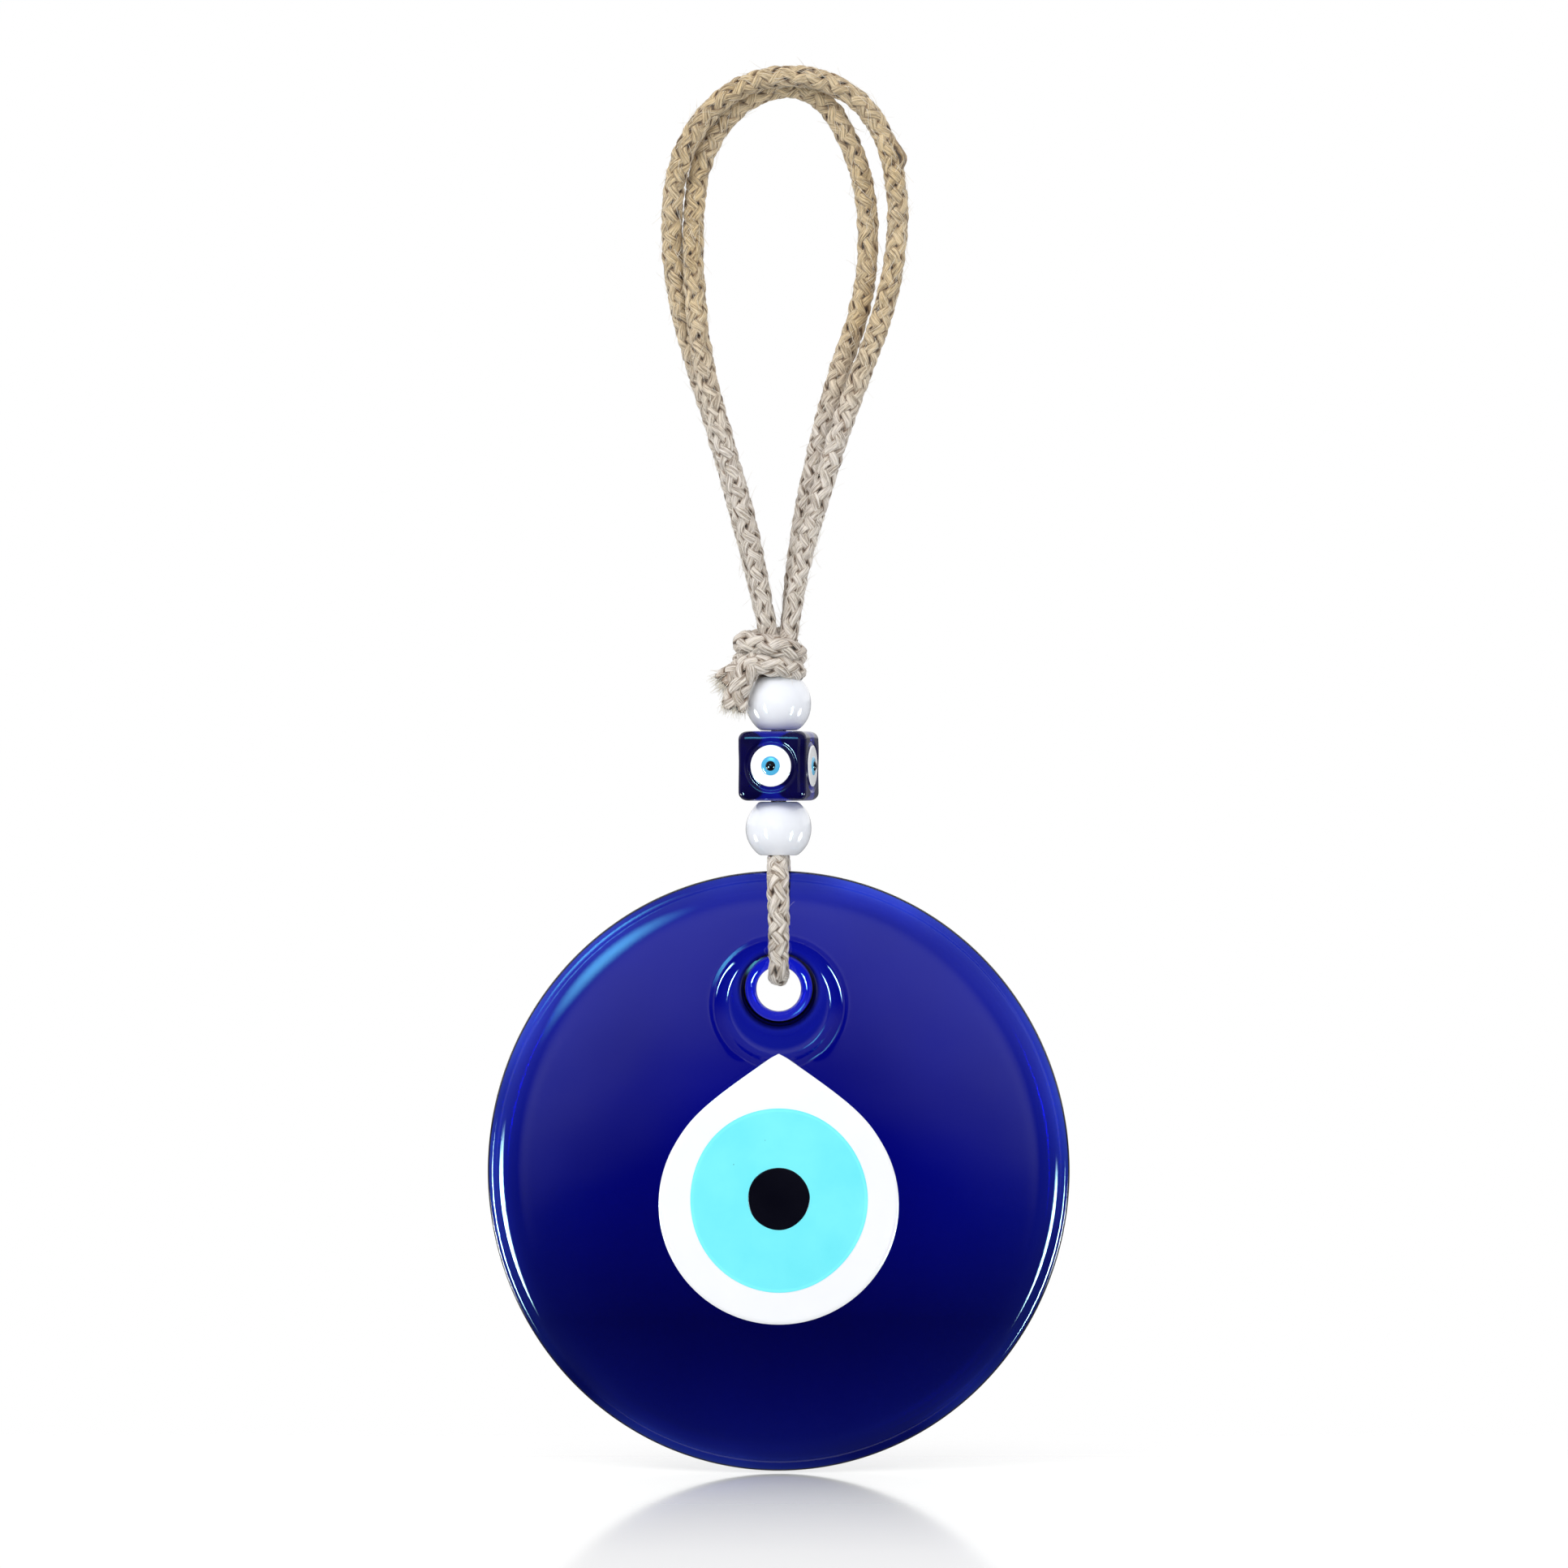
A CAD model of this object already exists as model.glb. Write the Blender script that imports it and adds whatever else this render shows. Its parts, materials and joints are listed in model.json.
import json
import math

import bpy
import numpy as np
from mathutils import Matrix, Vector, noise

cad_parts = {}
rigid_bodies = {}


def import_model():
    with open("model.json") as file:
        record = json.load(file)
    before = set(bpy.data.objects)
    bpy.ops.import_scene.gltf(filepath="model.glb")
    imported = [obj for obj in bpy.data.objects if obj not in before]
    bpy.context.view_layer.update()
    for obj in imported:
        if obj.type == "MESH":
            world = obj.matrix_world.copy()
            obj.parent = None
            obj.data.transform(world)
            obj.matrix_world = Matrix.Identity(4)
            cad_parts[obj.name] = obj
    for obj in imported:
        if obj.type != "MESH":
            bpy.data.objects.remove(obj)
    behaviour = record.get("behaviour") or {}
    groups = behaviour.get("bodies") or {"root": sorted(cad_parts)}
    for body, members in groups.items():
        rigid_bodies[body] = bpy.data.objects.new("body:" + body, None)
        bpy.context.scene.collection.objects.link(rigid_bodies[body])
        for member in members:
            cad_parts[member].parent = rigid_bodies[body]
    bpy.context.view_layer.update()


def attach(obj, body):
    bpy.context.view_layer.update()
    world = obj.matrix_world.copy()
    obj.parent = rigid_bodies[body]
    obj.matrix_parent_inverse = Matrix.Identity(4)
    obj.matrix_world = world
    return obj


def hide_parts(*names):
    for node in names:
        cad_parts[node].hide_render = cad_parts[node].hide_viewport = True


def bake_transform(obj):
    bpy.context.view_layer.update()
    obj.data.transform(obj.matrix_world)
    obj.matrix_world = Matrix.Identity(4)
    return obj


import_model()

MM = 0.001

# Sizes and heights of the glass, in millimetres, with the nail at the origin.
DISC_Z, DISC_RX, DISC_RZ = -203.2, 55.0, 56.7
HOLE_Z, HOLE_RADIUS = -168.8, 4.2
CUBE_Z, CUBE_HALF = -126.7, 6.55


# ---------------------------------------------------------------- camera and stage

VIEW_WIDTH, VIEW_X, VIEW_Z = 296.4 * MM, 1.0 * MM, -130.1 * MM


def make_camera():
    """Level, straight at the front, framing the whole ornament."""
    camera = bpy.data.cameras.new("camera")
    camera.lens = 100.0
    camera.sensor_width = 36.0
    camera.clip_start = 0.01
    holder = bpy.data.objects.new("camera", camera)
    distance = camera.lens / camera.sensor_width * VIEW_WIDTH
    holder.location = (VIEW_X, -distance, VIEW_Z)
    holder.rotation_euler = (math.radians(90), 0, 0)
    bpy.context.scene.collection.objects.link(holder)
    bpy.context.scene.camera = holder


def add_node(tree, kind, inputs=None, **settings):
    """A node with its settings, and its inputs set to values or wired to sockets."""
    node = tree.nodes.new(kind)
    for key, value in settings.items():
        setattr(node, key, value)
    for key, value in (inputs or {}).items():
        if isinstance(value, bpy.types.NodeSocket):
            tree.links.new(value, node.inputs[key])
        else:
            node.inputs[key].default_value = value
    return node


def area_light(name, position, target, size, power, colour=(1, 1, 1)):
    """A wide soft light on matt surfaces, not seen in reflections."""
    light = bpy.data.lights.new(name, "AREA")
    light.shape = "RECTANGLE"
    light.size, light.size_y = size
    light.energy = power
    light.color = colour
    holder = bpy.data.objects.new(name, light)
    holder.location = position
    direction = Vector(target) - Vector(position)
    holder.rotation_euler = direction.to_track_quat("-Z", "Y").to_euler()
    holder.visible_camera = False
    holder.visible_glossy = False
    bpy.context.scene.collection.objects.link(holder)
    return holder


def highlight(name, position, target, size, power, colour):
    """A light seen only as a highlight, fading out toward its edges."""
    holder = area_light(name, position, target, size, power, colour)
    holder.visible_diffuse = False
    holder.visible_glossy = True
    holder.data.use_nodes = True
    tree = holder.data.node_tree
    across = add_node(tree, "ShaderNodeNewGeometry").outputs["Parametric"]
    away = add_node(tree, "ShaderNodeVectorMath", {0: across, 1: (0.5, 0.5, 0)}, operation="DISTANCE")
    fade = add_node(
        tree, "ShaderNodeMapRange",
        {"Value": away.outputs["Value"], "From Min": 0.5, "From Max": 0.05, "To Min": 0.0, "To Max": 3.0},
        interpolation_type="SMOOTHSTEP",
    )
    tree.links.new(fade.outputs["Result"], tree.nodes["Emission"].inputs["Strength"])


make_camera()


# ---------------------------------------------------------------- materials

class Material:
    """A node material: shader is its Principled node, and add() makes a node wired to others."""

    def __init__(self, name, **sockets):
        self.material = bpy.data.materials.new(name)
        self.material.use_nodes = True
        self.tree = self.material.node_tree
        self.shader = self.tree.nodes["Principled BSDF"]
        self.output = self.tree.nodes["Material Output"]
        for socket, value in sockets.items():
            self.shader.inputs[socket.replace("_", " ")].default_value = value

    def add(self, kind, inputs=None, **settings):
        return add_node(self.tree, kind, inputs, **settings)

    def link(self, source, socket):
        self.tree.links.new(source, self.shader.inputs[socket])

    def coordinates(self):
        return self.add("ShaderNodeTexCoord").outputs["Object"]

    def noise(self, vector, scale, detail=3.0, roughness=0.55):
        """Noise of that many features to the metre, near 0.5."""
        inputs = {"Vector": vector, "Scale": scale, "Detail": detail, "Roughness": roughness}
        return self.add("ShaderNodeTexNoise", inputs).outputs["Fac"]

    def ramp(self, factor, stops):
        """Colour ramp through (position, colour) stops."""
        node = self.add("ShaderNodeValToRGB", {"Fac": factor})
        for element, (position, colour) in zip(node.color_ramp.elements, stops[:2]):
            element.position = position
            element.color = colour
        for position, colour in stops[2:]:
            node.color_ramp.elements.new(position).color = colour
        return node.outputs["Color"]

    def mix(self, factor, a, b, blend="MIX"):
        node = self.add("ShaderNodeMix", data_type="RGBA", blend_type=blend)
        for socket, value in zip((node.inputs[0], node.inputs[6], node.inputs[7]), (factor, a, b)):
            if isinstance(value, bpy.types.NodeSocket):
                self.tree.links.new(value, socket)
            else:
                socket.default_value = value
        return node.outputs[2]

    def bump(self, height, depth):
        """Bump of that depth in metres."""
        node = self.add("ShaderNodeBump", {"Height": height, "Strength": 1.0, "Distance": depth})
        self.link(node.outputs["Normal"], "Normal")


def grey(value):
    """An opaque grey as a node colour."""
    return (value, value, value, 1)


def cobalt_glass(name, density, tint, clear, shine):
    """Clear cobalt glass that darkens with depth, with the faint ripple of poured glass."""
    m = Material(name, Roughness=0.03, IOR=1.5, Transmission_Weight=clear, Specular_IOR_Level=shine)
    volume = m.add(
        "ShaderNodeVolumeAbsorption", {"Color": (0.0, 0.14, 0.88, 1), "Density": density},
    )
    m.tree.links.new(volume.outputs["Volume"], m.output.inputs["Volume"])
    at = m.coordinates()
    m.link(tint(m, at), "Base Color")
    m.bump(m.noise(at, 30.0, 1.5), 0.22 * MM)
    m.link(m.ramp(m.noise(at, 160.0, 4.0), [(0.35, grey(0.012)), (0.75, grey(0.06))]), "Roughness")
    return m.material


def distance_mm(m, at, centre, scale=(1, 1, 1)):
    """Distance in millimetres from a point, along stretched axes."""
    moved = m.add(
        "ShaderNodeVectorMath", {0: at, 1: tuple(c * MM for c in centre)}, operation="SUBTRACT",
    ).outputs["Vector"]
    stretched = m.add(
        "ShaderNodeVectorMath", {0: moved, 1: tuple(v / MM for v in scale)}, operation="MULTIPLY",
    ).outputs["Vector"]
    return m.add("ShaderNodeVectorMath", {0: stretched}, operation="LENGTH").outputs["Value"]


def disc_tint(m, at):
    """Deep in the body, brighter round the hole's lip and at the thin rim."""
    cloud = m.ramp(m.noise(at, 22.0, 2.0), [(0.3, (0.50, 0.50, 0.55, 1)), (0.7, (0.80, 0.80, 0.72, 1))])
    z = m.add("ShaderNodeSeparateXYZ", {0: at}).outputs["Z"]
    height = m.add("ShaderNodeMapRange", {"Value": z, "From Min": -260 * MM, "From Max": -146 * MM})
    depth = m.ramp(height.outputs["Result"], [
        (0.08, grey(0.30)), (0.85, grey(1.0)), (0.25, grey(0.23)), (0.42, grey(0.52)), (0.62, grey(0.80)),
    ])
    from_hole = distance_mm(m, at, (0, 0, HOLE_Z), (1, 0, 1))
    scaled = m.add("ShaderNodeMath", {0: from_hole, 1: 20.0}, operation="DIVIDE").outputs["Value"]
    lip = m.ramp(scaled, [
        (0.19, (0.26, 0.34, 1.0, 1)), (0.30, (0.20, 0.27, 0.98, 1)), (0.33, (0.05, 0.05, 0.14, 1)),
        (0.365, (0.06, 0.06, 0.18, 1)), (0.40, (0.70, 0.65, 0.68, 1)),
    ])
    near = m.ramp(scaled, [(0.40, grey(1)), (0.50, grey(0))])
    body = m.mix(near, cloud, lip)
    outward = distance_mm(m, at, (0, 0, DISC_Z), (1, 0, DISC_RX / DISC_RZ))
    share = m.add("ShaderNodeMath", {0: outward, 1: 60.0}, operation="DIVIDE").outputs["Value"]
    rim = m.ramp(share, [(0.835, grey(0)), (0.895, grey(1))])
    glow = m.ramp(m.noise(at, 32.0, 1.0), [(0.35, (0.06, 0.09, 0.40, 1)), (0.65, (0.34, 0.50, 0.95, 1))])
    return m.mix(1.0, m.mix(rim, body, glow), depth, "MULTIPLY")


def cube_tint(m, at):
    """Navy, brighter where the bore shines through the middle of each face."""
    from_axis = distance_mm(m, at, (0, 0, CUBE_Z), (1, 1, 0))
    share = m.add("ShaderNodeMath", {0: from_axis, 1: 10.0}, operation="DIVIDE").outputs["Value"]
    glow = m.ramp(share, [(0.662, (0.008, 0.012, 0.34, 1)), (0.685, (0.004, 0.003, 0.058, 1))])
    cloud = m.ramp(m.noise(at, 120.0, 2.0), [(0.3, grey(0.7)), (0.7, grey(1.3))])
    return m.mix(1.0, glow, cloud, "MULTIPLY")


def opaque_glass(name, colour, dark, speck=None, coat=0.6):
    """Opaque coloured glass: cloudy colour, fine ripple, a few specks."""
    m = Material(name, Roughness=0.09, IOR=1.5, Coat_Weight=coat, Coat_Roughness=0.03)
    at = m.coordinates()
    cloud = m.noise(at, 90.0, 4.0)
    tint = m.mix(m.ramp(cloud, [(0.3, grey(0)), (0.7, grey(1))]), (*dark, 1), (*colour, 1))
    if speck:
        cells = m.add("ShaderNodeTexVoronoi", {"Vector": at, "Scale": 230.0}, feature="F1")
        dots = m.ramp(cells.outputs["Distance"], [(0.035, grey(1)), (0.06, grey(0))])
        chance = m.noise(at, 45.0, 1.0)
        rare = m.mix(1.0, dots, m.ramp(chance, [(0.60, grey(0)), (0.64, grey(1))]), "MULTIPLY")
        tint = m.mix(rare, tint, (*speck, 1))
    m.link(tint, "Base Color")
    m.bump(m.noise(at, 55.0, 2.0), 0.12 * MM)
    return m.material


def jute():
    """Jute fibre: streaks along the plies, dark between them, tan above and greyer below."""
    m = Material("jute", Roughness=0.82, IOR=1.45, Sheen_Weight=0.25, Sheen_Roughness=0.5)
    fibre = m.add("ShaderNodeAttribute", attribute_name="fibre").outputs["Vector"]
    crown = m.add("ShaderNodeAttribute", attribute_name="crown").outputs["Fac"]
    tone = m.add("ShaderNodeAttribute", attribute_name="tone").outputs["Fac"]
    streak = m.noise(fibre, 1.0, 5.0, 0.65)
    fine = m.noise(fibre, 3.1, 3.0, 0.7)
    tan = m.ramp(streak, [(0.38, (0.18, 0.105, 0.035, 1)), (0.60, (0.70, 0.515, 0.27, 1))])
    ash = m.ramp(streak, [(0.38, (0.25, 0.185, 0.14, 1)), (0.60, (0.81, 0.74, 0.68, 1))])
    patch = m.ramp(m.noise(m.coordinates(), 75.0, 2.0), [(0.35, grey(-0.15)), (0.65, grey(0.15))])
    shifted = m.add("ShaderNodeMath", {0: tone, 1: patch}, operation="ADD", use_clamp=True)
    body = m.mix(shifted.outputs["Value"], tan, ash)
    light = m.mix(m.ramp(fine, [(0.5, grey(0)), (0.68, grey(0.7))]), body, (0.84, 0.735, 0.55, 1))
    hollow = m.ramp(crown, [
        (0.08, (0.10, 0.055, 0.03, 1)), (0.38, (0.48, 0.38, 0.30, 1)), (0.70, grey(1)), (1.0, grey(1)),
    ])
    worn = m.mix(1.0, light, hollow, "MULTIPLY")
    stray = m.ramp(crown, [(0.94, grey(0)), (0.99, grey(0.75))])
    m.link(m.mix(stray, worn, (0.93, 0.87, 0.75, 1)), "Base Color")
    m.link(m.ramp(fine, [(0.3, grey(0.72)), (0.7, grey(0.92))]), "Roughness")
    m.bump(m.mix(0.5, streak, fine), 0.3 * MM)
    return m.material


COBALT = cobalt_glass("cobalt_glass", 1000.0, disc_tint, 1.0, 0.5)
CUBE_GLASS = cobalt_glass("cube_glass", 500.0, cube_tint, 0.45, 0.25)
JUTE = jute()
WHITE = opaque_glass("white_glass", (0.91, 0.92, 0.94), (0.88, 0.895, 0.925))
MILK = opaque_glass("milk_glass", (0.85, 0.87, 0.92), (0.81, 0.835, 0.895))
TURQUOISE = opaque_glass("turquoise_glass", (0.20, 0.86, 0.94), (0.16, 0.80, 0.90), (0.02, 0.16, 0.22))
SKY = opaque_glass("sky_glass", (0.10, 0.50, 0.78), (0.07, 0.40, 0.70))
BLACK = opaque_glass(
    "black_glass", (0.003, 0.003, 0.007), (0.001, 0.001, 0.004), speck=(0.03, 0.03, 0.035), coat=0.0,
)


# ---------------------------------------------------------------- meshes

def add_mesh(name, vertices, faces, material, attributes=None):
    """A smooth mesh object from arrays in metres, with float or vector attributes on its points."""
    mesh = bpy.data.meshes.new(name)
    mesh.from_pydata(np.asarray(vertices).tolist(), [], [list(map(int, f)) for f in faces])
    mesh.calc_loop_triangles()
    corners = np.empty(3 * len(mesh.loop_triangles), np.int32)
    mesh.loop_triangles.foreach_get("vertices", corners)
    a, b, c = np.moveaxis(np.asarray(vertices)[corners.reshape(-1, 3)], 1, 0)
    if np.einsum("ij,ij->", a, np.cross(b, c)) < 0:
        mesh.flip_normals()
    mesh.materials.append(material)
    mesh.shade_smooth()
    for key, values in (attributes or {}).items():
        values = np.asarray(values, np.float32)
        if values.ndim == 2:
            layer = mesh.attributes.new(key, "FLOAT_VECTOR", "POINT")
            layer.data.foreach_set("vector", values.ravel())
        else:
            layer = mesh.attributes.new(key, "FLOAT", "POINT")
            layer.data.foreach_set("value", values)
    holder = bpy.data.objects.new(name, mesh)
    bpy.context.scene.collection.objects.link(holder)
    return holder


def grid_faces(rows, columns, close_rows=False):
    """Quads of a grid whose columns go round; with close_rows its rows do too."""
    row = np.arange(rows if close_rows else rows - 1)
    r, c = np.meshgrid(row, np.arange(columns), indexing="ij")
    r2, c2 = (r + 1) % rows, (c + 1) % columns
    quads = np.stack([r * columns + c, r * columns + c2, r2 * columns + c2, r2 * columns + c], -1)
    return quads.reshape(-1, 4)


def capped_faces(rows, columns):
    """Faces of such a grid with its last and first rows closed."""
    last = (rows - 1) * columns
    caps = [[last + i for i in range(columns)], list(range(columns))[::-1]]
    return [list(f) for f in grid_faces(rows, columns)] + caps


def smooth_step(x):
    """Eases from 0 at 0 to 1 at 1."""
    x = np.clip(x, 0, 1)
    return x * x * (3 - 2 * x)


def place(piece, body, slot, *nodes):
    """Puts a finished piece on its body, in place of CAD nodes."""
    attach(piece, body)
    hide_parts(*nodes)
    return piece


# ---------------------------------------------------------------- glass disc

CROWN_RADIUS, HALF_RIM = 53.0, 2.2
FRONT_CROWN, BACK_CROWN = 1.9, 1.0
LIP_SECTION = 1.9
FRONT_DISH_Z, FRONT_DISH_RADIUS, BACK_DISH_RADIUS = -171.7, 12.1, 9.0
DISH_WALL, WEB_Y = 2.8, 1.7
RIDGE_HEIGHT, RIDGE_OFFSET, RIDGE_SPREAD, RIDGE_END_Z = 0.22, 0.2, 0.5, -182.2
BORDER_START, BORDER_FALL, RIM_ROUND = 46.3, 0.9, 2.0


def crown_y(x, z, side):
    """Face of the disc before its dish: side is -1 for the front and 1 for the back."""
    rise = FRONT_CROWN if side < 0 else BACK_CROWN
    spread = (x**2 + (z - DISC_Z) ** 2) / CROWN_RADIUS**2
    return side * (HALF_RIM + rise * (1 - spread))


def dish(side):
    """Centre height and radius of the dish round the hole."""
    return (FRONT_DISH_Z, FRONT_DISH_RADIUS) if side < 0 else (HOLE_Z, BACK_DISH_RADIUS)


def face_y(x, z, side):
    """Face of the disc with its dish, whose edge stands up in a faint ridge, and its falling border."""
    dish_z, dish_radius = dish(side)
    from_centre = np.hypot(x, z - dish_z)
    depth = smooth_step((dish_radius - from_centre) / DISH_WALL)
    ridge = RIDGE_HEIGHT * np.exp(-(((from_centre - dish_radius - RIDGE_OFFSET) / RIDGE_SPREAD) ** 2))
    ridge = ridge * smooth_step((z - RIDGE_END_Z) / 2)
    outward = np.hypot(x, (z - DISC_Z) * DISC_RX / DISC_RZ)
    beyond = np.maximum(outward - BORDER_START, 0) / (DISC_RX - RIM_ROUND - BORDER_START)
    fall = BORDER_FALL * beyond**3
    return (1 - depth) * crown_y(x, z, side) + depth * side * WEB_Y + side * (ridge - fall)


def disc_rings(side):
    """Rings (centre z, x radius, z radius, y or None on the face) from the hole's wall to the rim."""
    rings = []
    lip_radius = HOLE_RADIUS + LIP_SECTION
    lip_end = math.pi - math.asin(WEB_Y / LIP_SECTION)
    for a in np.linspace(0, lip_end, 18):
        r = lip_radius - LIP_SECTION * math.cos(a)
        rings.append((HOLE_Z, r, r, side * LIP_SECTION * math.sin(a)))
    floor_start = rings[-1][1]
    dish_z, dish_radius = dish(side)
    keys = [
        (HOLE_Z, floor_start, floor_start),
        (dish_z, dish_radius - DISH_WALL, dish_radius - DISH_WALL),
        (dish_z, dish_radius + 1.5, dish_radius + 1.5),
        (DISC_Z, DISC_RX - RIM_ROUND, DISC_RZ - RIM_ROUND),
    ]
    for (a, b), steps in zip(zip(keys, keys[1:]), (4, 16, 90)):
        for t in np.linspace(0, 1, steps + 1)[1:]:
            rings.append((*[p + (q - p) * t for p, q in zip(a, b)], None))
    edge_y = float(face_y(np.array([DISC_RX - RIM_ROUND]), np.array([DISC_Z]), side)[0])
    for a in np.linspace(0, math.pi / 2, 14)[1:]:
        grow = RIM_ROUND * math.sin(a) - RIM_ROUND
        rings.append((DISC_Z, DISC_RX + grow, DISC_RZ + grow, edge_y * math.cos(a)))
    return rings


def make_disc():
    """The cobalt body: rings from the hole over the front, round the rim and back to the hole behind."""
    around = np.linspace(0, 2 * math.pi, 320, endpoint=False)
    front, back = disc_rings(-1), disc_rings(1)
    stack = [(*ring, -1) for ring in front] + [(*ring, 1) for ring in back[-2:0:-1]]
    points = []
    for centre_z, rx, rz, y, side in stack:
        x = rx * np.cos(around)
        z = centre_z + rz * np.sin(around)
        depth = face_y(x, z, side) if y is None else np.full_like(x, y)
        points.append(np.stack([x, depth, z], -1))
    vertices = np.concatenate(points) * MM
    faces = grid_faces(len(stack), len(around), close_rows=True)
    return add_mesh("disc_glass", vertices, faces, COBALT)


place(make_disc(), "disc", "cobalt_glass", "glass_disc")


# ---------------------------------------------------------------- eye layers

DROP_Z, DROP_RADIUS, DROP_TIP, DROP_SHOULDER = -209.25, 22.6, 28.6, math.radians(30)
FLANK_CORNER, FLANK_PULL = (15.92, 17.67), 0.86


def drop_outline(count):
    """Right half of the drop from its tip to its bottom: a flank drawn toward a corner, then a circle."""
    join = np.array([DROP_RADIUS * math.cos(DROP_SHOULDER), DROP_RADIUS * math.sin(DROP_SHOULDER)])
    tip, corner = np.array([0.0, DROP_TIP]), np.array(FLANK_CORNER)
    a = tip + FLANK_PULL * (corner - tip)
    b = join + FLANK_PULL * (corner - join)
    t = np.linspace(0, 1, count)[:, None]
    flank = (1 - t) ** 3 * tip + 3 * (1 - t) ** 2 * t * a + 3 * (1 - t) * t**2 * b + t**3 * join
    flank[:, 1] -= 0.25 * np.exp(-((flank[:, 0] / 0.9) ** 2))
    angles = np.linspace(DROP_SHOULDER, -math.pi / 2, 2 * count)[1:]
    arc = DROP_RADIUS * np.stack([np.cos(angles), np.sin(angles)], -1)
    return np.concatenate([flank, arc])


def closed_outline(half):
    """Both halves of an outline, from its top round by the right."""
    left = half[-2:0:-1] * np.array([-1, 1])
    return np.concatenate([half, left])


def circle_outline(rx, rz, wobble, count=200):
    """A slightly uneven ellipse."""
    a = math.pi / 2 - np.linspace(0, 2 * math.pi, count, endpoint=False)
    r = 1 + wobble * np.sin(3 * a + 0.7) + 0.6 * wobble * np.sin(5 * a + 2.0)
    return np.stack([rx * r * np.cos(a), rz * r * np.sin(a)], -1)


def make_layer(name, outline, centre_z, proud, sink, round_off, material):
    """A layer of the eye: follows the disc's face, stands proud of it and rounds off at its edge."""
    inward = [0.0, 0.12, 0.3, 0.55, 0.9] if round_off else [0.0, 0.05]
    shares = [round_off * math.cos(t * math.pi / 2 / 0.9) for t in inward] if round_off else [0, 0]
    span = np.abs(outline).max()
    loops, heights = [outline], [sink]
    for share, depth in zip(inward, shares):
        loops.append(outline * (1 - share * round_off / span))
        heights.append(-proud + 0.9 * proud * (depth / round_off if round_off else 0))
    for share in np.linspace(0.96, 0.02, 22):
        loops.append(outline * share)
        heights.append(-proud)
    rows = []
    for loop, height in zip(loops, heights):
        x, z = loop[:, 0], loop[:, 1] + centre_z
        rows.append(np.stack([x, crown_y(x, z, -1) + height, z], -1))
    return add_mesh(name, np.concatenate(rows) * MM, capped_faces(len(rows), len(outline)), material)


drop = make_layer("drop_glass", closed_outline(drop_outline(60)), DROP_Z, 0.15, 1.5, 0.35, WHITE)
place(drop, "disc", "white_glass", "white_drop")
iris = make_layer(
    "iris_glass", circle_outline(16.7, 17.35, 0.004), -208.4, 0.19, 1.0, 0.0, TURQUOISE,
)
place(iris, "disc", "turquoise_glass", "turquoise_iris")
pupil = make_layer(
    "pupil_glass", circle_outline(5.9, 5.95, 0.008), -208.1, 0.24, 0.9, 0.12, BLACK,
)
place(pupil, "disc", "black_glass", "black_pupil")


# ---------------------------------------------------------------- beads

BORE_RADIUS = 3.0
BEAD_HEIGHT, BEAD_LIP, BEAD_RIPPLE = 10.1, 0.4, 0.10


def lathe(name, profile, centre, material, segments=96):
    """A ring turned about Z from (radius, height) points, with a faint ripple outside its bore."""
    around = np.linspace(0, 2 * math.pi, segments, endpoint=False)
    rows = []
    for r, h in profile:
        row = np.stack([r * np.cos(around), r * np.sin(around), np.full_like(around, h)], -1)
        rows.append(row)
    points = np.concatenate(rows)
    seed = Vector(centre) * 0.37
    for i, p in enumerate(points):
        radial = Vector((p[0], p[1], 0)).normalized()
        outside = min(1.0, (math.hypot(p[0], p[1]) - BORE_RADIUS) / 0.6)
        shift = BEAD_RIPPLE * outside * noise.noise(Vector(p) * 0.22 + seed)
        points[i] = p + np.array(radial) * shift
    faces = grid_faces(len(profile), segments, close_rows=True)
    return add_mesh(name, (points + np.array(centre)) * MM, faces, material)


def bead_profile(radius, height, lip):
    """Closed section of a ball bead: outside, then the rounded mouths and the bore."""
    top = math.asin((height / 2 - 0.12) / radius)
    profile = [
        (radius * math.cos(a), radius * math.sin(a)) for a in np.linspace(-top, top, 44)
    ]
    for a in np.linspace(0, math.pi / 2, 7):
        profile.append((BORE_RADIUS + lip * (1 - math.sin(a)), height / 2 - lip * (1 - math.cos(a))))
    lower = [(r, -h) for r, h in profile[:-8:-1]]
    inner = [(BORE_RADIUS, h) for h in np.linspace(height / 2 - lip, -height / 2 + lip, 8)[1:-1]]
    return profile + inner + lower


def make_beads():
    """The two milky ball beads, each on its own body."""
    for name, body, node, z, radius in (
        ("upper_bead_glass", "top_bead", "upper_bead", -114.9, 6.15),
        ("lower_bead_glass", "bottom_bead", "lower_bead", -138.5, 6.2),
    ):
        bead = lathe(name, bead_profile(radius, BEAD_HEIGHT, BEAD_LIP), (0, 0, z), MILK)
        place(bead, body, "white_glass", node)


make_beads()


# ---------------------------------------------------------------- cube bead

CUBE_FILLET, CUBE_TURN = 1.5, math.radians(-13)
EYE_RADIUS, GROOVE_RADIUS = 3.9, 4.7
GROOVE_DEPTH, SEAT_DEPTH = 0.28, 0.5
CUBE_FACES = ("front", "right", "back", "left")


def rounded_square(half, fillet, count):
    """Points evenly spread along a rounded square, count to each quarter, from a corner's middle."""
    flat, arc = half - fillet, fillet * math.pi / 4
    side = 2 * flat + 2 * arc
    points = []
    for quarter in range(4):
        for along in np.linspace(0, side, count, endpoint=False):
            if along < arc:
                a = -math.pi / 4 + along / fillet
                p = (flat + fillet * math.cos(a), -flat + fillet * math.sin(a))
            elif along < arc + 2 * flat:
                p = (half, -flat + along - arc)
            else:
                a = (along - arc - 2 * flat) / fillet
                p = (flat + fillet * math.cos(a), flat + fillet * math.sin(a))
            c, s = math.cos(quarter * math.pi / 2), math.sin(quarter * math.pi / 2)
            points.append((p[0] * c - p[1] * s, p[0] * s + p[1] * c))
    return np.array(points)


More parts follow.
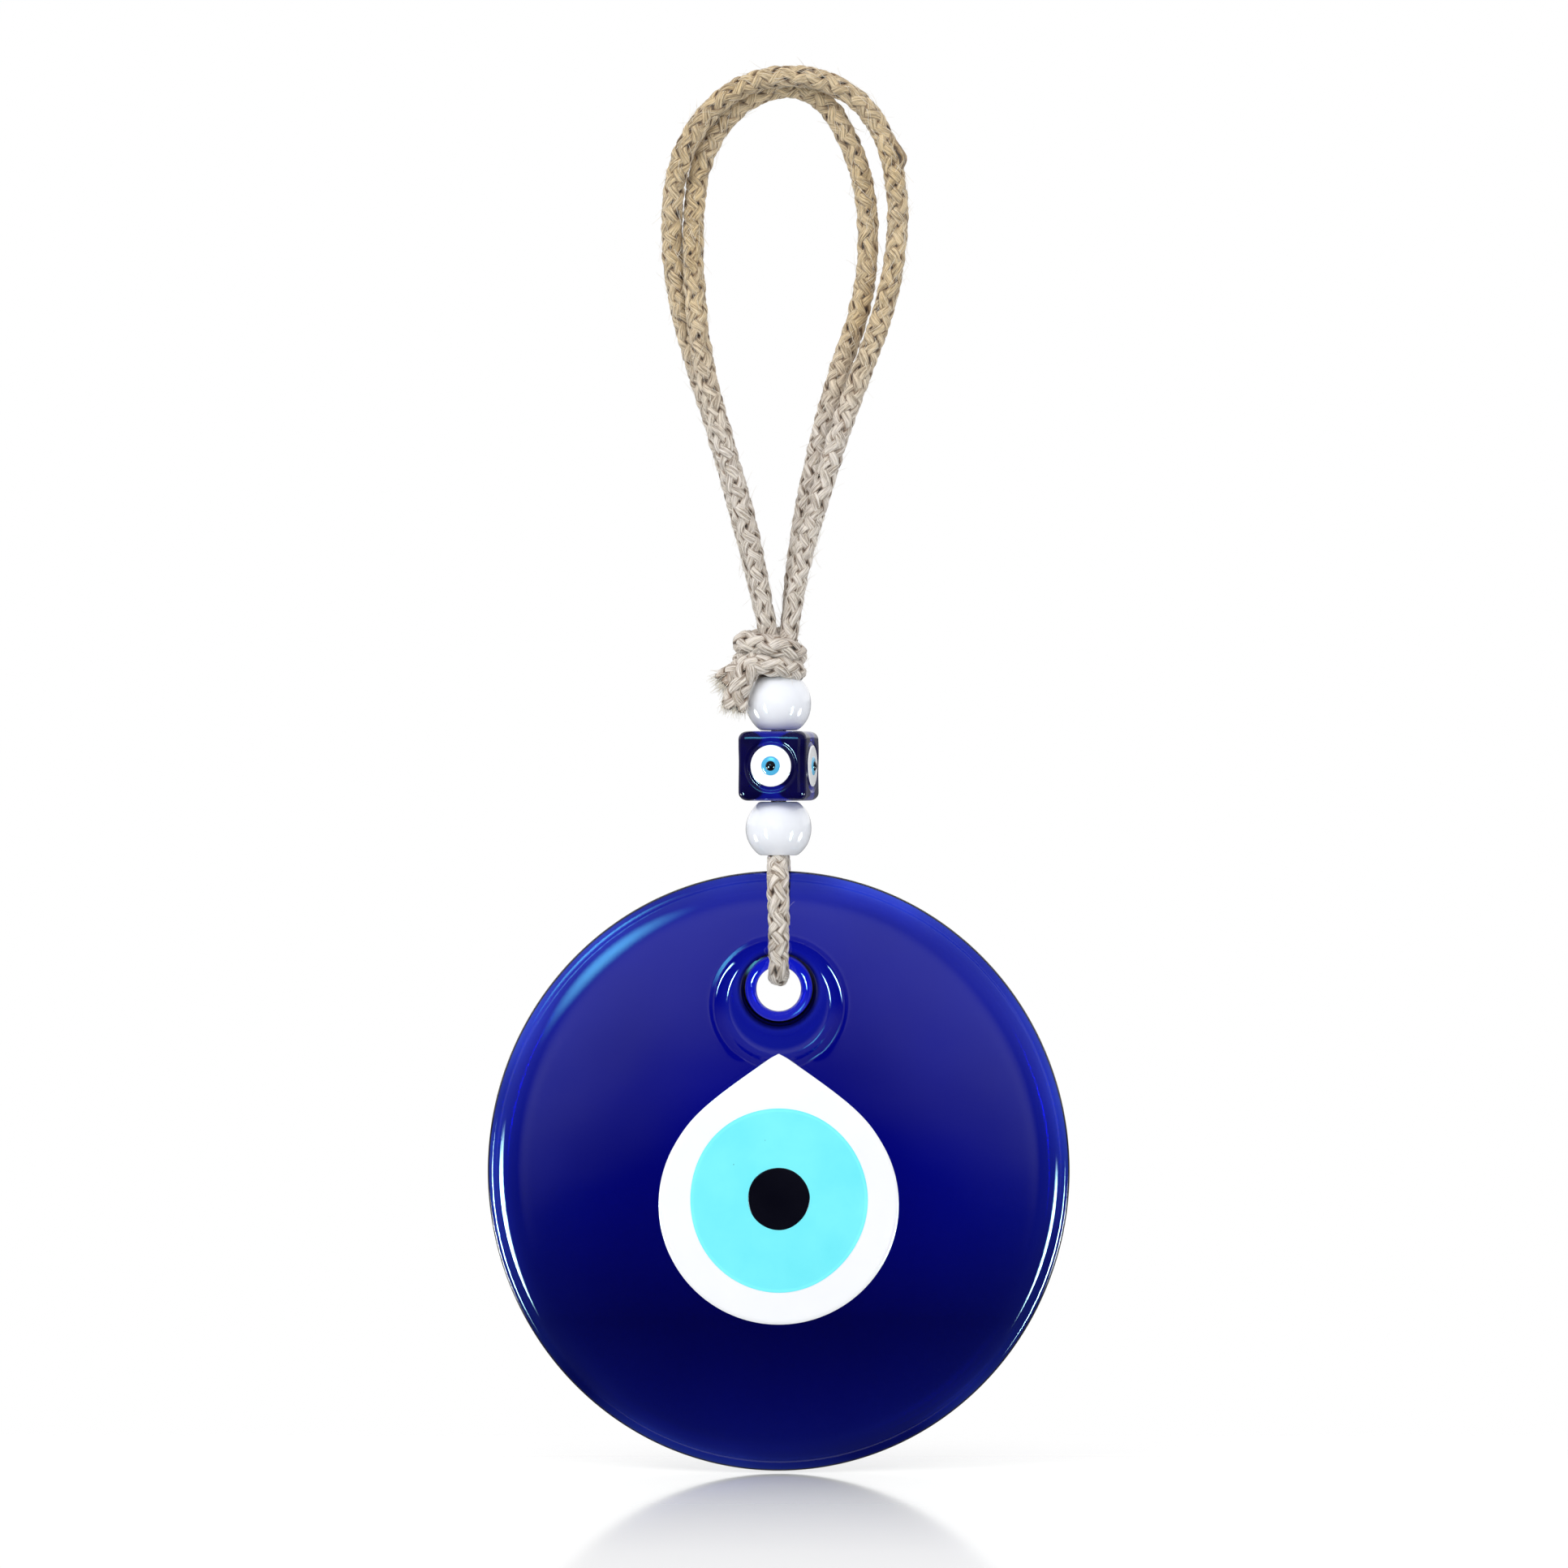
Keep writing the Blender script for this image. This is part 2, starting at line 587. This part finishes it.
def turned(points, angle):
    """Points turned about Z."""
    c, s = math.cos(angle), math.sin(angle)
    spin = np.array([[c, -s, 0], [s, c, 0], [0, 0, 1]])
    return points @ spin.T


def make_cube():
    """The cube as rings up its sides, over its top, down its bore and out below, then grooved."""
    count = 96
    outer = rounded_square(CUBE_HALF, CUBE_FILLET, count)
    angles = np.arctan2(outer[:, 1], outer[:, 0])
    circle = np.stack([np.cos(angles), np.sin(angles)], -1)
    sides = [(outer, h) for h in np.linspace(-CUBE_HALF + CUBE_FILLET, CUBE_HALF - CUBE_FILLET, 84)]
    top = []
    for a in np.linspace(0, math.pi / 2, 9)[1:]:
        inset = CUBE_FILLET * (1 - math.cos(a))
        shrunk = outer * (1 - inset / CUBE_HALF)
        top.append((shrunk, CUBE_HALF - CUBE_FILLET * (1 - math.sin(a))))
    edge = top[-1][0]
    for t in np.linspace(0, 1, 20)[1:]:
        dip = 0.12 * math.sin(math.pi * t)
        top.append((edge + t * (circle * (BORE_RADIUS + 0.5) - edge), CUBE_HALF - dip))
    for a in np.linspace(0, math.pi / 2, 7)[1:]:
        r = BORE_RADIUS + 0.5 * (1 - math.sin(a))
        top.append((circle * r, CUBE_HALF - 0.5 * (1 - math.cos(a))))
    bore = [(circle * BORE_RADIUS, h) for h in np.linspace(CUBE_HALF - 1, 1 - CUBE_HALF, 8)]
    bottom = [(loop, -h) for loop, h in top[::-1]]
    rows = sides + top + bore + bottom
    vertices = np.concatenate([np.c_[loop, np.full(len(loop), h)] for loop, h in rows])
    for face in range(4):
        back = turned(vertices, -face * math.pi / 2)
        near = back[:, 0] > CUBE_HALF - 0.6 * CUBE_FILLET
        r = np.hypot(back[:, 1], back[:, 2])
        cut = GROOVE_DEPTH * np.exp(-(((r - GROOVE_RADIUS + 0.15) / 0.35) ** 2))
        seat = SEAT_DEPTH * smooth_step((EYE_RADIUS - 0.1 - r) / 0.4)
        back[:, 0] -= np.where(near, cut + seat, 0)
        vertices = turned(back, face * math.pi / 2)
    ripple = np.array([noise.noise(Vector(v) * 0.3) for v in vertices])
    vertices[:, :2] *= (1 + 0.012 * ripple)[:, None]
    vertices = turned(vertices, CUBE_TURN) + np.array([0, 0, CUBE_Z])
    faces = grid_faces(len(rows), 4 * count, close_rows=True)
    return add_mesh("cube_glass", vertices * MM, faces, CUBE_GLASS)


def make_dot(name, face, radius, proud, sink, flatness, material):
    """A round blob of glass on one face of the cube, domed by that power of its edge distance."""
    columns = 64
    around = np.linspace(0, 2 * math.pi, columns, endpoint=False)
    rows = [(radius * 0.985, -sink), (radius * 0.995, -0.3 * sink)]
    rows += [(radius * math.sin(a), proud * math.cos(a) ** flatness) for a in np.linspace(1.55, 0.04, 16)]
    points = [np.stack([np.full(columns, h), r * np.cos(around), r * np.sin(around)], -1) for r, h in rows]
    points = np.concatenate(points) + np.array([CUBE_HALF, 0, 0])
    quarter = -math.pi / 2 + face * math.pi / 2
    vertices = turned(points, quarter + CUBE_TURN) + np.array([0, 0, CUBE_Z])
    return add_mesh(name, vertices * MM, capped_faces(len(rows), columns), material)


place(make_cube(), "eye_cube", "cobalt_glass", "cube_bead")
for index, label in enumerate(CUBE_FACES):
    for layer, slot_name, radius, proud, sink, flatness, material in (
        ("white", "white_glass", EYE_RADIUS, 0.22, 0.7, 0.35, WHITE),
        ("blue", "sky_glass", 1.85, 0.42, 0.4, 0.5, SKY),
        ("pupil", "black_glass", 1.03, 0.85, 0.4, 0.9, BLACK),
    ):
        dot = make_dot(f"cube_dot_{layer}_{label}", index, radius, proud, sink, flatness, material)
        place(dot, "eye_cube", slot_name, f"cube_eye_{layer}_{label}")


# ---------------------------------------------------------------- rope

CARRIERS, LAY_LENGTH = 4, 16.0  # strands each way round, and the length of one turn
STRAND_OFFSET, STRAND_WEAVE = 0.69, 0.09  # as shares of the rope's radius, as are the next three
STRAND_THICK, STRAND_WIDE, CORE = 0.26, 0.48, 0.72
STEP, COLUMNS = 0.45, 14  # spacing of points along a strand, and how many go round it
HAIR_REACH = 4.2  # farthest that a loose fibre's tip gets from the rope's axis


def spline_line(route):
    """Points in millimetres along the smooth NURBS line of a route in millimetres."""
    curve = bpy.data.curves.new("route", "CURVE")
    curve.dimensions = "3D"
    curve.resolution_u = 24
    spline = curve.splines.new("NURBS")
    spline.points.add(len(route) - 1)
    for point, at in zip(spline.points, route):
        point.co = (*[v * MM for v in at], 1)
    spline.order_u = 3
    spline.use_endpoint_u = True
    holder = bpy.data.objects.new("route", curve)
    mesh = bpy.data.meshes.new_from_object(holder)
    points = np.array([v.co[:] for v in mesh.vertices]) / MM
    for data, store in ((holder, bpy.data.objects), (mesh, bpy.data.meshes), (curve, bpy.data.curves)):
        store.remove(data)
    return points


def resampled(points, step=STEP):
    """Evenly spaced points along a line, and their distances from its start."""
    gaps = np.linalg.norm(np.diff(points, axis=0), axis=1)
    along = np.concatenate([[0], np.cumsum(gaps)])
    s = np.linspace(0, along[-1], max(8, int(along[-1] / step)))
    return np.stack([np.interp(s, along, points[:, i]) for i in range(3)], -1), s


def unit(v):
    """Vectors of length 1."""
    return v / np.maximum(np.linalg.norm(v, axis=-1, keepdims=True), 1e-9)


def frames(points):
    """Tangents of a line, and two normals that don't turn about it."""
    tangent = unit(np.gradient(points, axis=0))
    normal = np.empty_like(points)
    normal[0] = unit(np.cross(tangent[0], [0.3, 1.0, 0.2]))
    for i in range(1, len(points)):
        kept = normal[i - 1] - tangent[i] * (normal[i - 1] @ tangent[i])
        normal[i] = kept / np.linalg.norm(kept)
    return tangent, normal, np.cross(tangent, normal)


def wander(s, length, draw):
    """Smooth irregular values within about 1 of 0, with waves of about that length."""
    rates = draw.uniform(0.5, 1.8, 5) * 2 * math.pi / length
    phases = draw.uniform(0, 2 * math.pi, 5)
    return sum(np.sin(rate * s + phase) for rate, phase in zip(rates, phases)) / 2.4


class Rope:
    """Gathers the strands and loose fibres of braided jute cord into one mesh."""

    def __init__(self, seed):
        self.draw = np.random.default_rng(seed)
        self.vertices, self.faces, self.fibre, self.crown = [], [], [], []
        self.count = 0

    def take(self, vertices, faces, fibre, crown):
        """Adds one part, with its place along the fibres and how far out it stands."""
        self.vertices.append(vertices)
        self.faces += [[self.count + i for i in face] for face in faces]
        self.fibre.append(fibre)
        self.crown.append(crown)
        self.count += len(vertices)

    def braid(self, line, radius, hairs=6.0, spread=None, hair_length=(1.2, 5.5)):
        """Eight strands plaited over and under along a line, round a core."""
        points, s = resampled(line)
        radius = np.broadcast_to(np.asarray(radius(s) if callable(radius) else radius, float), s.shape)
        reach = radius * (1 if spread is None else spread(s))
        tangent, normal, across = frames(points)
        turn = 2 * math.pi * s / LAY_LENGTH + 0.16 * wander(s, 15, self.draw) + self.draw.uniform(0, 6)
        drift = 0.35 * wander(s, 45, self.draw) + self.draw.uniform(0, 6)
        for way in (1, -1):
            for strand in range(CARRIERS):
                angle = way * turn + strand * 2 * math.pi / CARRIERS + drift
                angle = (angle + 0.13 * wander(s, 7, self.draw))[:, None]
                out = np.cos(angle) * normal + np.sin(angle) * across
                over = way * np.cos(CARRIERS * turn)
                offset = reach * (STRAND_OFFSET + STRAND_WEAVE * over + 0.03 * wander(s, 5, self.draw))
                centre = points + out * offset[:, None]
                size = radius * (1 + 0.10 * wander(s, 6, self.draw))
                self.strand(points, centre, out, STRAND_THICK * size, STRAND_WIDE * size, s, reach)
        self.strand(points, points, normal, CORE * radius, CORE * radius, s, 9 * reach)
        self.hairs(points, tangent, normal, across, s, reach, hairs, hair_length)

    def strand(self, axis, centre, out, thick, wide, s, reach):
        """One flattened strand of combed fibres."""
        tangent = unit(np.gradient(centre, axis=0))
        side = unit(np.cross(tangent, out))
        out = np.cross(side, tangent)
        theta = np.linspace(0, 2 * math.pi, COLUMNS, endpoint=False)[None, :]
        combed = 1 + 0.05 * np.cos(5 * theta + self.draw.uniform(0, 6) + wander(s, 9, self.draw)[:, None])
        rough = 0.05 * wander(s, 1.7, self.draw)[:, None] * np.cos(2 * theta + self.draw.uniform(0, 6))
        ends = np.minimum(1, np.minimum(s, s[-1] - s) / 0.5 + 0.25)[:, None]
        grown = (combed + rough) * ends
        shell = (
            centre[:, None, :]
            + out[:, None, :] * (grown * thick[:, None] * np.cos(theta))[..., None]
            + side[:, None, :] * (grown * wide[:, None] * np.sin(theta))[..., None]
        )
        away = np.linalg.norm(shell - axis[:, None, :], axis=-1) / reach[:, None]
        worn = 0.93 + 0.10 * wander(s, 8, self.draw)[:, None]
        crown = np.clip((away - 0.72) / 0.24, 0, 1) * (0.12 + 0.88 * np.clip(np.cos(theta), 0, 1) ** 0.7)
        crown = np.clip(crown * worn, 0, 0.93)
        along = np.broadcast_to(s[:, None] * 0.35, away.shape) + self.draw.uniform(0, 900)
        twist = theta + 0.25 * s[:, None]
        fibre = np.stack([along, 2.8 * np.cos(twist), 2.8 * np.sin(twist)], -1)
        faces = capped_faces(len(s), COLUMNS)
        self.take(shell.reshape(-1, 3), faces, fibre.reshape(-1, 3), crown.ravel())

    def snag(self, route):
        """One strand pulled loose along a route."""
        points, s = resampled(spline_line(route))
        normal = frames(points)[1]
        thick, wide, reach = (np.full_like(s, value) for value in (0.75, 0.9, 0.9))
        self.strand(points, points, normal, thick, wide, s, reach)

    def hairs(self, points, tangent, normal, across, s, radius, density, length):
        """Loose fibres that lift off the rope, mostly along it."""
        for _ in range(int(density * s[-1])):
            i = self.draw.integers(0, len(s))
            angle = self.draw.uniform(0, 2 * math.pi)
            out = math.cos(angle) * normal[i] + math.sin(angle) * across[i]
            side = np.cross(tangent[i], out)
            start = points[i] + out * radius[i] * self.draw.uniform(0.8, 0.98)
            lift = abs(self.draw.normal(0.0, 0.30 if self.draw.uniform() < 0.3 else 0.08)) + 0.02
            heading = unit(
                tangent[i] * self.draw.choice([-1, 1]) + out * lift + side * self.draw.normal(0, 0.5)
            )
            reach = self.draw.uniform(*length) * (1 if lift < 0.3 else 0.6)
            curl = -0.25 if lift < 0.3 else 0.0
            bend = out * self.draw.normal(curl, 0.12) + side * self.draw.normal(0, 0.35)
            near = points[max(0, i - 20) : i + 20]
            for _ in range(8):
                tip = start + (heading + 0.7 * bend) * reach
                if np.linalg.norm(near - tip, axis=1).min() < HAIR_REACH:
                    break
                reach *= 0.75
            self.hair(start, heading, bend, reach, self.draw.uniform(0.03, 0.06))

    def hair(self, start, heading, bend, reach, thick):
        """One fibre as a thin three-sided tube, bending as it goes."""
        t = np.linspace(0, 1, 6)[:, None]
        line = start + heading * t * reach + bend * (t * t) * reach * 0.7
        tangent, normal, across = frames(line)
        theta = np.array([0, 2.0944, 4.1888])[None, :, None]  # thirds of a turn
        girth = (thick * (1.05 - 0.75 * t))[:, None, :]
        shell = line[:, None, :] + girth * (np.cos(theta) * normal[:, None] + np.sin(theta) * across[:, None])
        fibre = np.zeros((len(t) * 3, 3)) + self.draw.uniform(0, 900, 3)
        fibre[:, 0] += np.repeat(t[:, 0] * reach * 0.4, 3)
        faces = [list(f) for f in grid_faces(len(t), 3)] + [[2, 1, 0], [15, 16, 17]]
        self.take(shell.reshape(-1, 3), faces, fibre, np.ones(len(t) * 3))

    def tuft(self, centre, heading, radius, count, length, spread):
        """A brush of cut fibres round a rope's end."""
        heading = unit(np.array(heading, float))
        side = unit(np.cross(heading, [0.2, 1.0, 0.1]))
        other = np.cross(heading, side)
        for _ in range(count):
            r, a = radius * math.sqrt(self.draw.uniform(0, 1)), self.draw.uniform(0, 2 * math.pi)
            out = math.cos(a) * side + math.sin(a) * other
            start = np.array(centre) + out * r - heading * self.draw.uniform(0.2, 2.0)
            way = unit(heading + out * spread * (r / radius) + self.draw.normal(0, 0.16, 3))
            bend = self.draw.normal(0, 0.3, 3)
            self.hair(start, way, bend, self.draw.uniform(*length), self.draw.uniform(0.05, 0.1))

    def finish(self, name):
        """The rope as one mesh, whose tone goes from tan over the nail to ash below."""
        vertices = np.concatenate(self.vertices)
        tone = smooth_step((-38 - vertices[:, 2]) / 34)
        attributes = {
            "fibre": np.concatenate(self.fibre), "crown": np.concatenate(self.crown), "tone": tone,
        }
        return add_mesh(name, vertices * MM, self.faces, JUTE, attributes)


# Routes of the cord, in millimetres.
OUTER_LOOP = (
    (-1.5, 1.6, -104.5), (-2.2, 2.1, -100.75), (-5.9, 2.1, -84.4), (-11.6, 2.1, -63.5),
    (-16.1, 1.9, -49.9), (-19.8, 1.3, -35.4), (-20.4, 0.0, -22.6), (-19.2, -1.3, -13.6),
    (-15.6, -1.7, -5.9), (-9.6, -1.9, 0.3), (-2.2, -1.9, 3.3), (5.4, -1.9, 3.5),
    (12.7, -1.7, 1.0), (18.5, -1.2, -4.6), (21.5, -1.0, -12.3), (22.6, -1.2, -20.6),
    (22.2, -1.4, -29.5), (20.3, -1.5, -39.4), (17.0, -1.6, -48.9), (12.4, -1.9, -60.9),
    (7.8, -2.1, -75.5), (4.1, -2.1, -88.5), (2.2, -2.1, -100.75), (1.4, -1.6, -104.5),
)
SNAG = (
    (21.0, -1.7, -8.2), (22.5, -1.9, -10.4), (23.7, -2.0, -12.2), (22.9, -1.9, -13.4), (22.2, -1.5, -15.0),
)
INNER_LOOP = (
    (-1.4, -1.6, -104.5), (-2.0, -2.1, -100.75), (-5.0, -2.1, -84.4), (-11.0, -2.1, -63.5),
    (-14.6, -1.9, -49.9), (-16.1, -1.3, -35.4), (-16.2, 0.0, -23.3), (-15.3, 1.3, -14.4),
    (-12.6, 1.7, -7.4), (-7.7, 1.9, -1.4), (-1.5, 2.0, 1.8), (4.7, 2.0, 1.9),
    (9.4, 1.9, -1.4), (13.1, 1.3, -7.7), (15.8, 1.0, -15.1), (17.0, 1.2, -23.5),
    (16.8, 1.4, -32.5), (15.3, 1.5, -41.0), (12.3, 1.6, -49.4), (8.9, 2.0, -60.3),
    (5.4, 2.1, -75.5), (3.1, 2.1, -88.5), (2.0, 2.1, -100.75), (1.4, 1.6, -104.5),
)
LEG = (
    (0.0, -1.45, -108.6), (0.0, -1.45, -120.0), (0.0, -1.45, -132.0), (0.0, -1.45, -142.0),
    (-0.3, -1.9, -145.0), (-0.2, -3.4, -147.0), (-0.1, -4.6, -150.0), (0.0, -4.95, -153.5),
    (0.0, -4.95, -157.5), (0.0, -4.6, -160.4), (0.0, -3.8, -162.6), (0.0, -3.7, -164.84),
    (0.0, 0.0, -166.97),
)
STRING = LEG + tuple((-x, -y, z) for x, y, z in LEG[-2::-1])
SHORT_END = ((-4.2, -1.2, -106.6), (-6.4, -1.6, -108.0), (-8.6, -2.1, -109.6), (-10.4, -2.4, -111.4))
LONG_END = ((-3.4, -3.2, -106.2), (-5.6, -4.0, -108.2), (-7.6, -4.2, -112.3), (-8.5, -3.7, -115.9))


def loop_radius(s):
    """Full size over the nail and squeezed together at both ends, where the legs enter the knot."""
    from_end = np.minimum(s, s[-1] - s)
    return 1.75 + 0.27 * smooth_step((from_end - 8) / 22)


def string_radius(s):
    """Squeezed side by side in the bores, full round through the hole."""
    from_end = np.minimum(s, s[-1] - s)
    return 1.36 + 0.72 * smooth_step((from_end - 33.5) / 3) - 0.16 * smooth_step((from_end - 42) / 14)


def make_loop(name, node, route, seed, snag=None):
    """One cord of the hanging loop, blended from the still body to the knot's."""
    line = spline_line(route)
    rope = Rope(seed)
    rope.braid(line, loop_radius)
    if snag:
        rope.snag(snag)
    piece = rope.finish(name)
    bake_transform(piece)
    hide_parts(node)


def knot_line():
    """The wrapping turns of the knot, as route points, from (turns, height, share of full size) keys."""
    keys = [
        (-0.45, -102.2, 0.75), (-0.25, -102.5, 0.92), (0.0, -103.5, 1.04), (0.25, -104.0, 1.04),
        (0.5, -105.8, 1.0), (0.75, -106.3, 0.98), (1.0, -107.2, 1.06), (1.25, -107.6, 1.0),
        (1.5, -109.0, 0.98), (1.75, -109.0, 0.9), (1.95, -107.8, 0.8),
    ]
    turns, heights, shares = (np.array(column) for column in zip(*keys))
    points_per_turn = 12
    at = np.arange(turns[0], turns[-1] + 0.01, 1 / points_per_turn)
    angle = math.pi - 2 * math.pi * at
    share = np.interp(at, turns, shares)
    x = -1.6 + 5.1 * share * np.cos(angle)
    y = -4.4 * share * np.sin(angle)
    return list(zip(x.tolist(), y.tolist(), np.interp(at, turns, heights).tolist()))


def make_knot():
    """The wrapping turns round four runs of rope."""
    rope = Rope(31)
    rope.braid(spline_line(knot_line()), 2.1, hairs=6.0, hair_length=(1.0, 4.0))
    for x, y in ((-1.4, -1.2), (1.2, -0.9), (-1.2, 1.4), (1.3, 1.2)):
        run = [(x, y, -102.0), (x * 0.8, y * 0.8, -105.0), (x * 0.9, y * 0.6, -108.4)]
        rope.braid(np.array(run), 1.6, hairs=0.0)
    return place(rope.finish("knot_rope"), "knot_end", "jute", "knot")


STUB_RADIUS, TUFT_FIBRES = 2.2, 300


def make_stub(name, node, route, seed, length, spread_from):
    """A cut end that opens over its last stretch and finishes in a brush of fibres."""
    line = spline_line(route)
    rope = Rope(seed)
    rope.braid(
        line, STUB_RADIUS, hairs=7.0, hair_length=(0.8, 2.2),
        spread=lambda s: 1 + 0.35 * smooth_step((s - s[-1] + spread_from) / spread_from),
    )
    heading = line[-1] - line[-4]
    rope.tuft(line[-1], heading, STUB_RADIUS, TUFT_FIBRES, length, 0.5)
    return place(rope.finish(name), "knot_end", "jute", node)


def make_string():
    """The cord through the beads, down to the disc, through its hole and back up."""
    line = spline_line(STRING)
    rope = Rope(21)
    rope.braid(line, string_radius, hairs=4.0, hair_length=(0.8, 2.6))
    piece = rope.finish("string_rope")
    place(piece, "string", "jute", "string_cord_front", "string_cord_back", "disc_cord")


make_loop("loop_rope_outer", "loop_cord_outer", OUTER_LOOP, 11, SNAG)
make_loop("loop_rope_inner", "loop_cord_inner", INNER_LOOP, 12)
make_knot()
make_stub("short_rope_end", "cord_end_short", SHORT_END, 41, (1.2, 2.6), 4.0)
make_stub("long_rope_end", "cord_end_long", LONG_END, 42, (1.0, 2.1), 5.0)

make_string()


# ---------------------------------------------------------------- floor and light

FLOOR_Z, FLOOR_RADIUS = -0.2602, 0.6


def make_floor():
    """A pale glossy floor round the disc's foot, fading out into the white surroundings."""
    rings, columns = 40, 96
    around = np.linspace(0, 2 * math.pi, columns, endpoint=False)
    points = [
        np.stack([r * np.cos(around), r * np.sin(around), np.full(columns, FLOOR_Z)], -1)
        for r in np.linspace(0.002, FLOOR_RADIUS, rings)
    ]
    m = Material(
        "floor", Base_Color=grey(0.97), Roughness=0.11, IOR=2.0, Coat_Weight=0.8, Coat_Roughness=0.11,
        Emission_Color=grey(1), Emission_Strength=0.06,
    )
    forward = m.add("ShaderNodeSeparateXYZ", {0: m.coordinates()}).outputs["Y"]
    share = m.add("ShaderNodeMapRange", {"Value": forward, "From Min": -0.20, "From Max": 0.06})
    fade = m.ramp(share.outputs["Result"], [
        (0.08, grey(0)), (0.96, grey(0)), (0.44, grey(0.30)), (0.65, grey(0.72)), (0.76, grey(1)),
        (0.79, grey(1)),
    ])
    outward = distance_mm(m, m.coordinates(), (0, 0, 0), (MM, MM, 0))
    fade = m.mix(1.0, fade, m.ramp(outward, [(0.14, grey(1)), (0.26, grey(0))]), "MULTIPLY")
    clear = m.add("ShaderNodeBsdfTransparent")
    blend = m.add(
        "ShaderNodeMixShader", {0: fade, 1: clear.outputs["BSDF"], 2: m.shader.outputs["BSDF"]},
    )
    m.tree.links.new(blend.outputs["Shader"], m.output.inputs["Surface"])
    faces = [list(f) for f in grid_faces(rings, columns)] + [list(range(columns))[::-1]]
    floor = add_mesh("floor", np.concatenate(points), faces, m.material)
    floor.visible_glossy = False
    floor.visible_shadow = False
    return floor


def make_world():
    """White behind, dimmer in reflections and through glass, and brighter above than below there."""
    world = bpy.data.worlds.new("studio")
    world.use_nodes = True
    tree = world.node_tree
    background = tree.nodes["Background"]
    background.inputs["Color"].default_value = (1, 1, 1, 1)
    path = add_node(tree, "ShaderNodeLightPath")
    toward = add_node(tree, "ShaderNodeTexCoord")
    axes = add_node(tree, "ShaderNodeSeparateXYZ", {"Vector": toward.outputs["Generated"]})

    def ranged(source, low, high, to_low, to_high):
        """Eases from to_low to to_high between two bounds; both are numbers or sockets."""
        inputs = {"Value": source, "From Min": low, "From Max": high, "To Min": to_low, "To Max": to_high}
        node = add_node(tree, "ShaderNodeMapRange", inputs, interpolation_type="SMOOTHSTEP")
        return node.outputs["Result"]

    def sums(operation, *values, clamp=False):
        """A sum on numbers and sockets."""
        inputs = dict(enumerate(values))
        node = add_node(tree, "ShaderNodeMath", inputs, operation=operation, use_clamp=clamp)
        return node.outputs["Value"]

    aside = sums("ABSOLUTE", axes.outputs["X"])
    raised = sums("MULTIPLY_ADD", aside, 0.6, axes.outputs["Z"])
    facing = ranged(raised, -0.04, 0.14, -0.98, -0.30)
    aslant = ranged(axes.outputs["Z"], -0.1, 0.3, -0.98, -0.75)
    before = ranged(axes.outputs["Y"], -0.985, -0.93, facing, aslant)
    behind = ranged(axes.outputs["Z"], 0.04, 0.12, -0.75, -0.02)
    loss = ranged(axes.outputs["Y"], -0.1, 0.3, before, behind)
    through = path.outputs["Is Transmission Ray"]
    mirrored = sums("SUBTRACT", path.outputs["Is Glossy Ray"], through, clamp=True)
    strength = sums("MULTIPLY_ADD", mirrored, loss, 1.0)
    strength = sums("MULTIPLY_ADD", path.outputs["Is Diffuse Ray"], -0.12, strength)
    strength = sums("MULTIPLY_ADD", through, -0.1, strength)
    tree.links.new(strength, background.inputs["Strength"])
    bpy.context.scene.world = world


COOL, AQUA, SKY_BLUE = (0.9, 0.97, 1.0), (0.5, 0.9, 1.0), (0.15, 0.7, 1.0)


def make_lights():
    """Streaks on the disc's rim, a blue glow by its hole and soft light on the matt surfaces."""
    highlight("left_low", (-0.80, 0.12, -0.50), (0, 0, -0.16), (0.30, 0.42), 4.5, COOL)
    highlight("right_low", (0.84, 0.0, -0.46), (0, 0, -0.16), (0.28, 0.40), 4.0, COOL)
    highlight("left_rim", (-0.72, -0.62, -0.44), (-0.05, 0, -0.218), (0.18, 0.60), 18.0, AQUA)
    highlight("right_rim", (0.72, -0.60, -0.52), (0.05, 0, -0.222), (0.18, 0.60), 18.0, AQUA)
    highlight("left_glow", (-0.40, -0.88, 0.18), (-0.04, 0, -0.165), (0.50, 0.50), 3.0, SKY_BLUE)
    area_light("left_high", (-0.60, -0.45, 0.45), (0, 0, -0.15), (0.50, 0.35), 3.0)
    area_light("front_top", (0.35, -0.9, 0.65), (0, 0, -0.12), (0.9, 0.6), 3.5)


make_floor()
make_world()
make_lights()
bpy.context.scene.view_settings.view_transform = "Standard"
